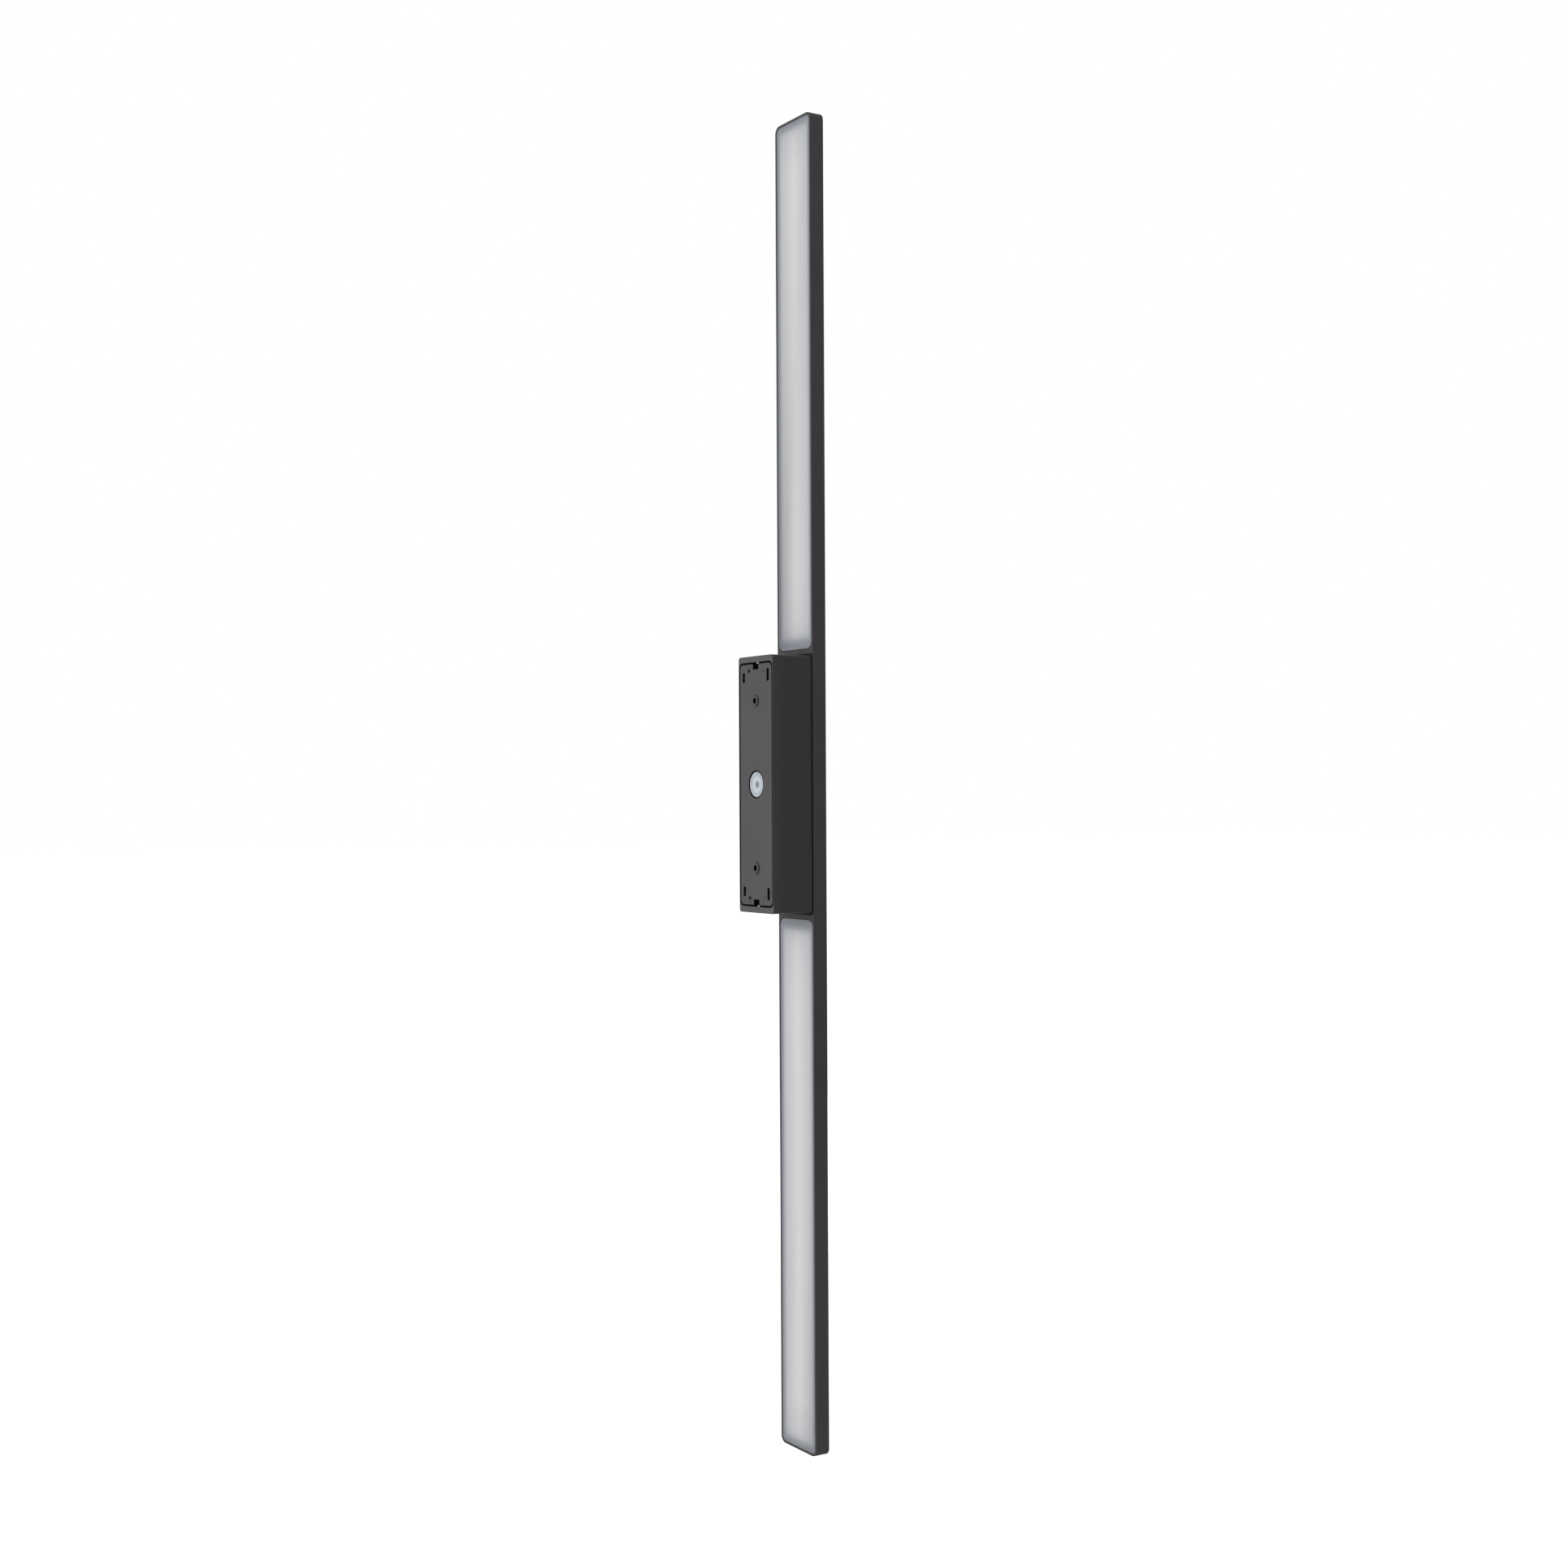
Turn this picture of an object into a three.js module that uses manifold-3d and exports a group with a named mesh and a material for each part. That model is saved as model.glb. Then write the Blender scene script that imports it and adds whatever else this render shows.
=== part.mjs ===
// A slim vertical wall light: a long bar with frosted lenses on both faces, carried by a
// mounting canopy that fits over a wall plate. Millimetres, +Z up along the bar. The parts are
// placed from the canopy's open rim, which is the plane y = 0 while they are made, and stand out
// towards -Y. The wall plate's bosses stand proud of that rim and touch the wall, so the whole
// light is moved by their height at the end, which makes the wall the plane y = 0.
import * as THREE from 'three';
import { mergeVertices } from 'three/addons/utils/BufferGeometryUtils.js';
import Module from 'manifold-3d';

const wasm = await Module();
wasm.setup();

// Driving dimensions.
const barLength = 1200;
const barWidth = 58.2;
const barDepth = 14;
const barCornerRadius = 6.5;
const rimWall = 2;
const canopyLength = 229;
const canopyWidth = 57.6;
const canopyDepth = 40.4;
const shadowGap = 1.4;
const wallGap = 1.1;
const sheet = 2;
const clearance = 0.3;

// Stations along the depth, from the canopy's rim outwards.
const barRear = -(canopyDepth + shadowGap);
const barFront = barRear - barDepth;
const lensSink = 0.3;
const spineRear = barRear - 6.2;
const spineFront = spineRear - 1.5;
const shelfRear = spineFront - clearance;
const shelfFront = shelfRear - 1;
const canopyFloorInside = -(canopyDepth - 2.5);
const plateRear = -0.2;
const plateFront = plateRear - 1;

// The bar's openings.
const openingHalf = barWidth / 2 - rimWall;
const openingEnd = barLength / 2 - rimWall;
const openingRadius = 5.5;
const webHalf = 120.8;
const webCornerRadius = 7;
const webLensGap = 0.7;
const skirtWall = 1.5;

// The canopy and its wall plate.
const canopySideWall = 0.8;
const canopyEndWall = 5.3;
const canopyPocketHalf = canopyWidth / 2 - canopySideWall;
const canopyPocketEnd = canopyLength / 2 - canopyEndWall;
const plateHalf = canopyPocketHalf - 1.6;
const plateEnd = canopyPocketEnd - 1.8;
const notchHalf = 4.8;
const notchDepth = 4.8;
const bossZ = 74.6;
const bossRadius = 5.6;
const bossTipRadius = 4.7;
const fixingHoleRadius = 2.75;
const grommetHole = 12.7;

// Fasteners and the cable way between the canopy and the bar.
const canopyScrewX = 18;
const canopyScrewZ = 96;
const canopyScrewShank = 1.7;
const cableWayZ = 84;
const cableWayRadius = 4;
const linkWayZ = 112;
const linkX = 1.6;
const setScrewRadius = 1.5;
const setScrewY = -3;
const setScrewReach = 1.6;

// The driver and the terminal block.
const driverHalf = 16;
const driverBottom = -42;
const driverTop = 60;
const driverRear = canopyFloorInside + 20.5;
const earTip = 9;
const blockTop = -64;
const blockBottom = -80;
const blockHalf = 13;
const blockRear = canopyFloorInside + 13;
const earthScrewZ = -97;
const leadRadius = 0.9;
const poleSpacing = 8;

const holeSegments = 16;
const cornerSegments = 7;

// ---------------------------------------------------------------- shaping helpers

// The closed solid of a geometry, with shared vertices joined and empty triangles dropped.
function solid(geometry) {
  const bare = new THREE.BufferGeometry();
  bare.setAttribute('position', geometry.getAttribute('position').clone());
  if (geometry.index) bare.setIndex(geometry.index.clone());
  const joined = mergeVertices(bare, 1e-4);
  const index = joined.index.array;
  const kept = [];
  for (let i = 0; i < index.length; i += 3) {
    const [a, b, c] = [index[i], index[i + 1], index[i + 2]];
    if (a !== b && b !== c && c !== a) kept.push(a, b, c);
  }
  const body = new wasm.Manifold(new wasm.Mesh({
    numProp: 3,
    vertProperties: new Float32Array(joined.getAttribute('position').array),
    triVerts: new Uint32Array(kept),
  }));
  return body;
}

// A rectangle between two heights, with one corner radius at its inner end and one at its outer.
function panelPath(path, half, inner, outer, innerRadius, outerRadius) {
  const corners = [
    [half, inner, innerRadius, -Math.PI / 2],
    [half, outer, outerRadius, 0],
    [-half, outer, outerRadius, Math.PI / 2],
    [-half, inner, innerRadius, Math.PI],
  ];
  const points = [];
  for (const [x, y, radius, start] of corners) {
    const centreX = x - Math.sign(x) * radius;
    const centreY = y === inner ? y + radius : y - radius;
    for (let i = 0; i <= cornerSegments; i += 1) {
      const angle = start + (i / cornerSegments) * (Math.PI / 2);
      points.push(new THREE.Vector2(
        centreX + radius * Math.cos(angle),
        centreY + radius * Math.sin(angle),
      ));
    }
  }
  path.setFromPoints(points);
  return path;
}

const panel = (...sizes) => panelPath(new THREE.Shape(), ...sizes);
const panelHole = (...sizes) => panelPath(new THREE.Path(), ...sizes);

function roundHole(x, z, radius, segments = holeSegments) {
  const points = [];
  for (let i = 0; i < segments; i += 1) {
    const angle = (i / segments) * Math.PI * 2;
    points.push(new THREE.Vector2(x + radius * Math.cos(angle), z + radius * Math.sin(angle)));
  }
  return new THREE.Path().setFromPoints(points);
}

// A flat shape drawn in x and z, made solid between two depths.
function slab(shape, rear, front) {
  const geometry = new THREE.ExtrudeGeometry(shape, { depth: rear - front, bevelEnabled: false });
  geometry.rotateX(Math.PI / 2);
  geometry.translate(0, rear, 0);
  return solid(geometry);
}

function withHoles(shape, holes) {
  shape.holes.push(...holes);
  return shape;
}

function block(x0, x1, y0, y1, z0, z1) {
  const geometry = new THREE.BoxGeometry(x1 - x0, y1 - y0, z1 - z0);
  geometry.translate((x0 + x1) / 2, (y0 + y1) / 2, (z0 + z1) / 2);
  return solid(geometry);
}

// A body turned about the Y axis, from points of radius and depth, moved to x and z.
function turned(points, x = 0, z = 0, segments = holeSegments) {
  const profile = points.map(([radius, y]) => new THREE.Vector2(radius, y));
  const geometry = new THREE.LatheGeometry(profile, segments);
  geometry.translate(x, 0, z);
  return solid(geometry);
}

// A pillar between two depths.
function pillar(radius, rear, front, x, z, segments = holeSegments) {
  return turned([[0, front], [radius, front], [radius, rear], [0, rear]], x, z, segments);
}

// A round bar along Z at a given depth.
function upright(radius, y, z0, z1, segments = holeSegments) {
  const geometry = new THREE.LatheGeometry(
    [[0, z0], [radius, z0], [radius, z1], [0, z1]].map(([r, h]) => new THREE.Vector2(r, h)),
    segments,
  );
  geometry.rotateX(Math.PI / 2);
  geometry.translate(0, y, 0);
  return solid(geometry);
}

// A wire of constant thickness along a smooth route.
function wire(route, radius = leadRadius) {
  const curve = new THREE.CatmullRomCurve3(route.map((p) => new THREE.Vector3(...p)));
  const ring = roundHole(0, 0, radius, 6);
  const section = new THREE.Shape(ring.getPoints());
  return solid(new THREE.ExtrudeGeometry(section, {
    steps: 5 * (route.length - 1), bevelEnabled: false, extrudePath: curve,
  }));
}

const joined = (bodies) => bodies.reduce((whole, body) => whole.add(body));
const cut = (body, tools) => tools.reduce((rest, tool) => rest.subtract(tool), body);

// ---------------------------------------------------------------- the bar

const canopyScrewSpots = [
  ['upper_left', -canopyScrewX, canopyScrewZ],
  ['upper_right', canopyScrewX, canopyScrewZ],
  ['lower_left', -canopyScrewX, -canopyScrewZ],
  ['lower_right', canopyScrewX, -canopyScrewZ],
];

function fixingHoles(extra) {
  const holes = canopyScrewSpots.map(([, x, z]) => roundHole(x, z, canopyScrewShank + extra));
  holes.push(roundHole(0, cableWayZ, cableWayRadius));
  return holes;
}

function fullPanel(half, end, radius) {
  return panel(half, -end, end, radius, radius);
}

function makeBarFrame() {
  const outline = () => fullPanel(barWidth / 2, barLength / 2, barCornerRadius);
  const lensOpening = () => panelHole(
    openingHalf, webHalf, openingEnd, webCornerRadius, openingRadius,
  );
  const lowerOpening = () => panelHole(
    openingHalf, -openingEnd, -webHalf, openingRadius, webCornerRadius,
  );
  const face = slab(
    withHoles(outline(), [lensOpening(), lowerOpening(), ...fixingHoles(clearance)]),
    barRear, barRear - sheet,
  );
  const ring = (inset, rear, front) => slab(
    withHoles(outline(), [panelHole(
      openingHalf - inset, -(openingEnd - inset), openingEnd - inset,
      openingRadius - inset, openingRadius - inset,
    )]),
    rear, front,
  );
  return joined([
    face,
    ring(0, barRear - sheet, shelfRear),
    ring(skirtWall, shelfRear, shelfFront),
    ring(0, shelfFront, barFront),
  ]);
}

function makeSpine() {
  const outline = fullPanel(
    openingHalf - clearance, openingEnd - clearance, openingRadius - clearance,
  );
  const linkWays = [1, -1].map((side) => roundHole(0, side * linkWayZ, cableWayRadius));
  return slab(
    withHoles(outline, [...fixingHoles(clearance), ...linkWays]), spineRear, spineFront,
  );
}

// A shallow tray: a flat face with a skirt around its edge.
function lens(inner, outer, innerRadius, outerRadius, face, faceBack, skirtEnd) {
  const half = openingHalf - clearance;
  const facePlate = slab(
    panel(half, inner, outer, innerRadius, outerRadius),
    Math.max(face, faceBack), Math.min(face, faceBack),
  );
  const skirt = slab(
    withHoles(panel(half, inner, outer, innerRadius, outerRadius), [panelHole(
      half - skirtWall, inner + skirtWall, outer - skirtWall,
      innerRadius - skirtWall, outerRadius - skirtWall,
    )]),
    Math.max(faceBack, skirtEnd), Math.min(faceBack, skirtEnd),
  );
  return facePlate.add(skirt);
}

const lensFaceRear = barRear - lensSink;
const lensEnd = openingEnd - clearance;
const lensOuterRadius = openingRadius - clearance;
const lensInnerRadius = webCornerRadius - clearance;

function makeRearLens(side) {
  const inner = webHalf + webLensGap;
  const wireGap = block(
    -5, 5, spineRear - 1, lensFaceRear - sheet - 0.2, inner - 1, inner + skirtWall + 1,
  );
  const upper = lens(
    inner, lensEnd, lensInnerRadius, lensOuterRadius,
    lensFaceRear, lensFaceRear - sheet, spineRear + clearance,
  ).subtract(wireGap);
  return side > 0 ? upper : upper.rotate([0, 180, 0]);
}

function makeFrontLens() {
  const face = barFront + lensSink;
  return lens(
    -lensEnd, lensEnd, lensOuterRadius, lensOuterRadius,
    face, face + sheet, shelfFront - clearance,
  );
}

// A circuit board with a row of light-emitting chips standing on one of its faces.
function ledBoard(inner, outer, mounted, facing) {
  const boardHalf = 18;
  const boardThickness = 1;
  const chipHeight = 0.7;
  const chipHalf = 1.8;
  const pitch = 30;
  const face = mounted + facing * boardThickness;
  const top = face + facing * chipHeight;
  const bodies = [slab(
    panel(boardHalf, inner, outer, 1, 1), Math.max(mounted, face), Math.min(mounted, face),
  )];
  const count = Math.floor((Math.abs(outer - inner) - pitch) / pitch) + 1;
  const first = (inner + outer) / 2 - ((count - 1) * pitch) / 2;
  for (let i = 0; i < count; i += 1) {
    const z = first + i * pitch;
    bodies.push(block(
      -chipHalf, chipHalf, Math.min(face, top), Math.max(face, top), z - chipHalf, z + chipHalf,
    ));
  }
  return joined(bodies);
}

const rearBoardInner = 130;
const boardEnd = 592;

function makeRearBoard(side) {
  const [inner, outer] = side > 0 ? [rearBoardInner, boardEnd] : [-boardEnd, -rearBoardInner];
  return ledBoard(inner, outer, spineRear + clearance, 1);
}

function makeFrontBoard(side) {
  const [inner, outer] = side > 0 ? [1, boardEnd] : [-boardEnd, -1];
  return ledBoard(inner, outer, spineFront - clearance, -1);
}

// ---------------------------------------------------------------- the canopy

// The gasket stops just short of the canopy's sides and shows past its two ends.
function makeCanopyGasket() {
  const sideInset = 1;
  const endOverhang = 2.2;
  const outline = fullPanel(canopyWidth / 2 - sideInset, canopyLength / 2 + endOverhang, 2);
  return slab(
    withHoles(outline, fixingHoles(clearance)), -canopyDepth - 0.1, barRear + 0.1,
  );
}

const driverScrewZ = [driverTop + earTip / 2, driverBottom - earTip / 2];
const blockScrewX = poleSpacing / 2;
const blockScrewZ = (blockTop + blockBottom) / 2;

function makeCanopyHousing() {
  const radius = 2.8;
  const outline = () => fullPanel(canopyWidth / 2, canopyLength / 2, radius);
  const pocket = panelHole(canopyPocketHalf, -canopyPocketEnd, canopyPocketEnd, 5, 5);
  const walls = slab(withHoles(outline(), [pocket]), 0, canopyFloorInside);
  const tapped = [...driverScrewZ, earthScrewZ].map((z) => roundHole(0, z, canopyScrewShank));
  tapped.push(roundHole(blockScrewX, blockScrewZ, canopyScrewShank));
  const floor = slab(
    withHoles(outline(), [...fixingHoles(clearance), ...tapped]),
    canopyFloorInside, -canopyDepth,
  );
  const end = canopyLength / 2 + 1;
  const bores = [[canopyPocketEnd - 1, end], [-end, -canopyPocketEnd + 1]].map(
    ([z0, z1]) => upright(setScrewRadius + 0.1, setScrewY, z0, z1),
  );
  return cut(walls.add(floor), bores);
}

// A pan-head screw pointing away from the wall, its head seated at the given depth.
function screw(x, z, seat, length, shank, head) {
  const headHeight = 2.2;
  const recess = 0.9;
  const body = turned([
    [0, seat - length],
    [shank * 0.55, seat - length],
    [shank, seat - length + 1],
    [shank, seat],
    [head, seat],
    [head, seat + headHeight * 0.55],
    [head * 0.7, seat + headHeight],
    [0, seat + headHeight],
  ], x, z);
  const top = seat + headHeight;
  const slotHalf = [head * 0.5, 0.4];
  const cross = block(
    x - slotHalf[0], x + slotHalf[0], top - recess, top + 1, z - slotHalf[1], z + slotHalf[1],
  ).add(block(
    x - slotHalf[1], x + slotHalf[1], top - recess, top + 1, z - slotHalf[0], z + slotHalf[0],
  ));
  return body.subtract(cross);
}

function makeCanopyScrew(x, z) {
  const seat = canopyFloorInside + 0.1;
  return screw(x, z, seat, seat - spineFront - 0.1, canopyScrewShank - 0.1, 3.4);
}

// A headless screw in an end wall, with a hexagonal socket in its outer end. It is shown backed
// off, its tip just clear of the wall, and is turned in until it presses on the wall plate's tab.
function makeSetScrew() {
  const outer = canopyLength / 2 - 0.6;
  const tip = canopyPocketEnd - setScrewReach;
  const body = upright(setScrewRadius, setScrewY, tip + 0.6, outer)
    .add(upright(setScrewRadius * 0.6, setScrewY, tip, tip + 0.7));
  return body.subtract(upright(0.8, setScrewY, outer - 2, outer + 1, 6));
}

// ---------------------------------------------------------------- the wall plate

// A hole with rounded corners, standing up the plate.
function slotHole(x, z, half, length) {
  const cornerRadius = 0.8;
  const outline = panelHole(half, z - length / 2, z + length / 2, cornerRadius, cornerRadius);
  const points = outline.getPoints().map((point) => new THREE.Vector2(point.x + x, point.y));
  return new THREE.Path().setFromPoints(points);
}

function bossSpots() {
  return [bossZ, -bossZ];
}

// A block cut or made at both ends of the plate: sizes are given for the upper end.
function bothEnds(x0, x1, y0, y1, z0, z1) {
  return [block(x0, x1, y0, y1, z0, z1), block(x0, x1, y0, y1, -z1, -z0)];
}

function makeWallPlate() {
  const slotX = 20.3;
  const slotFoot = 91.6;
  const slotHalf = 1.9;
  const slotLengths = [[-slotX, 11], [slotX, 8.6]];
  const squareHalf = 1.5;
  const [squareX, squareZ] = [11.3, 101.6];
  const [slitX, slitZ, slitHalf] = [-14.2, 100.2, 2];
  const tabThickness = 1.2;
  const tabReach = 7;
  const [below, above] = [plateFront - 1, plateRear + 1];
  const notchRoot = plateEnd - notchDepth;
  const slots = [1, -1].flatMap((end) => slotLengths.map(
    ([x, length]) => slotHole(x, end * (slotFoot + length / 2), slotHalf, length),
  ));
  const sheetBody = slab(
    withHoles(fullPanel(plateHalf, plateEnd, 4.4), [roundHole(0, 0, grommetHole, 48), ...slots]),
    plateRear, plateFront,
  );
  const tabs = bothEnds(
    -notchHalf, notchHalf, plateFront - tabReach, plateRear - 0.3,
    notchRoot - tabThickness, notchRoot,
  );
  const tools = [
    ...bothEnds(-notchHalf, notchHalf, below, above, notchRoot, plateEnd + 1),
    ...bothEnds(
      squareX - squareHalf, squareX + squareHalf, below, above,
      squareZ - squareHalf, squareZ + squareHalf,
    ),
    ...bothEnds(slitX - slitHalf, slitX + slitHalf, below, above, slitZ - 0.25, slitZ + 0.25),
  ];
  const underside = wallGap - (plateRear - plateFront);
  const bosses = bossSpots().map((z) => turned([
    [0, plateRear - 0.3], [bossRadius, plateRear - 0.3], [bossRadius, plateRear],
    [bossTipRadius + 0.45, wallGap - 0.4], [bossTipRadius, wallGap], [0, wallGap],
  ], 0, z, 40));
  for (const z of bossSpots()) {
    tools.push(pillar(fixingHoleRadius, wallGap + 1, plateFront - 1, 0, z, 32));
    tools.push(turned([
      [0, plateFront - 1], [bossRadius - 1, plateFront - 1], [bossRadius - 1, plateFront],
      [bossTipRadius - 0.9, underside], [0, underside],
    ], 0, z, 32));
  }
  return cut(joined([sheetBody, ...bosses, ...tabs]), tools);
}

// A round silicone plug set in the plate from inside: a flat rim just under the plate's face, a
// dish inside it, and a thin membrane in the middle for the cord to be pushed through.
function makeGrommet() {
  const disc = grommetHole - 0.9;
  const flange = grommetHole + 1.6;
  const face = plateRear - 0.45;
  const back = plateFront - 0.1;
  return turned([
    [0, face - 2.6],
    [3.6, face - 2.6],
    [7, back - 1.3],
    [flange - 0.4, back - 1.3],
    [flange, back - 0.9],
    [flange, back],
    [disc, back],
    [disc, face - 0.3],
    [disc - 0.3, face],
    [disc - 2.1, face],
    [disc - 2.5, face - 0.35],
    [disc - 2.9, face - 0.3],
    [3.5, face - 1.3],
    [2.9, face - 1.9],
    [0, face - 1.9],
  ], 0, 0, 40);
}

// ---------------------------------------------------------------- inside the canopy

function makeDriver() {
  const floor = canopyFloorInside + 0.2;
  const earThickness = 2;
  const box = slab(panel(driverHalf, driverBottom, driverTop, 2, 2), driverRear, floor);
  const ears = slab(
    withHoles(
      panel(8, driverBottom - earTip, driverTop + earTip, 3, 3),
      driverScrewZ.map((z) => roundHole(0, z, canopyScrewShank + clearance)),
    ),
    floor + earThickness, floor,
  );
  return box.add(ears);
}

function makeDriverScrew(z) {
  return screw(0, z, canopyFloorInside + 2.4, 4.6, canopyScrewShank - 0.1, 3.2);
}

const poleX = [-poleSpacing, 0, poleSpacing];
const leadDepth = canopyFloorInside + 6.5;

// A three-pole screw terminal: wire holes in both long sides, screw wells in the rear face.
function makeTerminalBlock() {
  const floor = canopyFloorInside + 0.2;
  const body = slab(panel(blockHalf, blockBottom, blockTop, 1, 1), blockRear, floor);
  const tools = [];
  for (const x of poleX) {
    for (const z of [blockTop, blockBottom]) {
      const mouth = solid(new THREE.BoxGeometry(3.2, 3.2, 6)).translate([x, leadDepth, z]);
      tools.push(mouth);
    }
    for (const z of [blockTop - 4.5, blockBottom + 4.5]) {
      tools.push(pillar(1.6, blockRear + 1, blockRear - 4, x, z, 10));
    }
  }
  tools.push(pillar(3.6, blockRear + 1, floor + 2.5, blockScrewX, blockScrewZ));
  tools.push(pillar(canopyScrewShank + clearance, floor + 3, floor - 1, blockScrewX, blockScrewZ));
  return cut(body, tools);
}

function makeBlockScrew() {
  const seat = canopyFloorInside + 2.9;
  return screw(blockScrewX, blockScrewZ, seat, 5, canopyScrewShank - 0.1, 3.1);
}

function makeEarthScrew() {
  return screw(0, earthScrewZ, canopyFloorInside + 1.5, 3.7, canopyScrewShank - 0.1, 3.6);
}

// The crimped eye of the earth lead, held under the earth screw.
function makeEarthRing() {
  const rear = canopyFloorInside + 1.3;
  const front = canopyFloorInside + 0.3;
  const eye = slab(
    withHoles(new THREE.Shape(roundHole(0, earthScrewZ, 4, 16).getPoints()), [
      roundHole(0, earthScrewZ, canopyScrewShank + 0.2),
    ]), rear, front,
  );
  const tail = block(-1.6, 1.6, front, rear, earthScrewZ + 3, earthScrewZ + 8);
  return eye.add(tail);
}

// A lead from the driver's lower end into the top of one pole of the terminal block.
function makeInputLead(x) {
  const start = driverBottom - clearance;
  const middle = (driverBottom + blockTop) / 2;
  return wire([
    [x * 0.6, leadDepth + 5, start],
    [x * 0.7, leadDepth + 5, start - 5],
    [x, leadDepth + 1, middle - 3],
    [x, leadDepth, blockTop + 1],
    [x, leadDepth, blockTop - 2],
  ]);
}

function makeEarthLead() {
  const tailEnd = earthScrewZ + 8;
  return wire([
    [poleSpacing, leadDepth, blockBottom + 2],
    [poleSpacing, leadDepth, blockBottom - 1],
    [poleSpacing - 2, leadDepth - 2, blockBottom - 6],
    [2.5, canopyFloorInside + 2.6, tailEnd + 1.5],
    [0, canopyFloorInside + 2.4, tailEnd - 2],
  ], 0.9);
}

// A lead from the driver's upper end, through the cable way, to the back of the upper front board.
function makeOutputLead(x) {
  return wire([
    [x * 2, driverRear - 7, driverTop + clearance],
    [x * 2, driverRear - 7, driverTop + 8],
    [x, driverRear - 10, cableWayZ - 3],
    [x, canopyFloorInside + 3, cableWayZ],
    [x, barRear - 1, cableWayZ],
    [x, spineFront - 0.1, cableWayZ],
  ]);
}

// A lead from the back of a front board, through the spine, to the face of the rear board beyond.
function makeLinkLead(side, x) {
  const boardFace = spineRear + clearance + 1;
  const over = boardFace + leadRadius + 0.1;
  const lead = wire([
    [x, spineFront - 0.1, linkWayZ],
    [x, spineRear, linkWayZ],
    [x, over - 0.3, linkWayZ + 3],
    [x, over, linkWayZ + 8],
    [x, over, rearBoardInner + 4],
  ], 0.7);
  return side > 0 ? lead : lead.rotate([0, 180, 0]);
}

// ---------------------------------------------------------------- assembly

const finishes = {
  blackCoat: { color: 0x2b2b2d, metalness: 0.3, roughness: 0.5 },
  frosted: { color: 0xe6e9ec, metalness: 0, roughness: 0.45 },
  board: { color: 0xf2f2ee, metalness: 0, roughness: 0.5 },
  aluminium: { color: 0xb9bbbe, metalness: 0.9, roughness: 0.4 },
  steel: { color: 0xc6c8ca, metalness: 0.9, roughness: 0.3 },
  silicone: { color: 0xdfe6ea, metalness: 0, roughness: 0.4 },
  blackRubber: { color: 0x111112, metalness: 0, roughness: 0.8 },
  whitePlastic: { color: 0xe9e9e6, metalness: 0, roughness: 0.5 },
  brass: { color: 0xc9a24a, metalness: 0.9, roughness: 0.35 },
  brownInsulation: { color: 0x6b3f22, metalness: 0, roughness: 0.5 },
  blueInsulation: { color: 0x2b62b8, metalness: 0, roughness: 0.5 },
  greenInsulation: { color: 0x4a9a34, metalness: 0, roughness: 0.5 },
  redInsulation: { color: 0xb6231f, metalness: 0, roughness: 0.5 },
  blackInsulation: { color: 0x161616, metalness: 0, roughness: 0.5 },
};

function addPart(group, name, finish, body) {
  const data = body.getMesh();
  const geometry = new THREE.BufferGeometry();
  geometry.setAttribute('position', new THREE.BufferAttribute(data.vertProperties, 3));
  geometry.setIndex(new THREE.BufferAttribute(data.triVerts, 1));
  geometry.computeVertexNormals();
  const mesh = new THREE.Mesh(geometry, new THREE.MeshStandardMaterial(finishes[finish]));
  mesh.name = name;
  group.add(mesh);
}

function buildBar(light) {
  addPart(light, 'bar_frame', 'blackCoat', makeBarFrame());
  addPart(light, 'spine_plate', 'aluminium', makeSpine());
  addPart(light, 'front_diffuser', 'frosted', makeFrontLens());
  for (const [where, side] of [['upper', 1], ['lower', -1]]) {
    addPart(light, `rear_diffuser_${where}`, 'frosted', makeRearLens(side));
    addPart(light, `rear_led_board_${where}`, 'board', makeRearBoard(side));
    addPart(light, `front_led_board_${where}`, 'board', makeFrontBoard(side));
  }
}

function buildCanopy(light) {
  addPart(light, 'canopy_gasket', 'blackRubber', makeCanopyGasket());
  addPart(light, 'canopy_housing', 'blackCoat', makeCanopyHousing());
  for (const [where, x, z] of canopyScrewSpots) {
    addPart(light, `canopy_screw_${where}`, 'steel', makeCanopyScrew(x, z));
  }
  const setScrew = makeSetScrew();
  addPart(light, 'set_screw_top', 'steel', setScrew);
  addPart(light, 'set_screw_bottom', 'steel', setScrew.rotate([0, 180, 0]));
}

function buildWallPlate(light) {
  addPart(light, 'wall_plate', 'blackCoat', makeWallPlate());
  addPart(light, 'cable_grommet', 'silicone', makeGrommet());
}

function buildElectrics(light) {
  addPart(light, 'led_driver', 'whitePlastic', makeDriver());
  addPart(light, 'driver_screw_upper', 'steel', makeDriverScrew(driverScrewZ[0]));
  addPart(light, 'driver_screw_lower', 'steel', makeDriverScrew(driverScrewZ[1]));
  addPart(light, 'terminal_block', 'whitePlastic', makeTerminalBlock());
  addPart(light, 'terminal_block_screw', 'steel', makeBlockScrew());
  addPart(light, 'earth_screw', 'brass', makeEarthScrew());
  addPart(light, 'earth_ring', 'brass', makeEarthRing());
  addPart(light, 'live_lead', 'brownInsulation', makeInputLead(-poleSpacing));
  addPart(light, 'neutral_lead', 'blueInsulation', makeInputLead(0));
  addPart(light, 'earth_lead', 'greenInsulation', makeEarthLead());
  for (const [pole, finish, x] of [
    ['positive', 'redInsulation', -linkX], ['negative', 'blackInsulation', linkX],
  ]) {
    addPart(light, `output_lead_${pole}`, finish, makeOutputLead(x));
    addPart(light, `link_lead_upper_${pole}`, finish, makeLinkLead(1, x));
    addPart(light, `link_lead_lower_${pole}`, finish, makeLinkLead(-1, -x));
  }
}

const light = new THREE.Group();
light.name = 'vanity_light_bar';
light.position.y = -wallGap;
buildBar(light);
buildCanopy(light);
buildWallPlate(light);
buildElectrics(light);

export default light;
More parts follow.
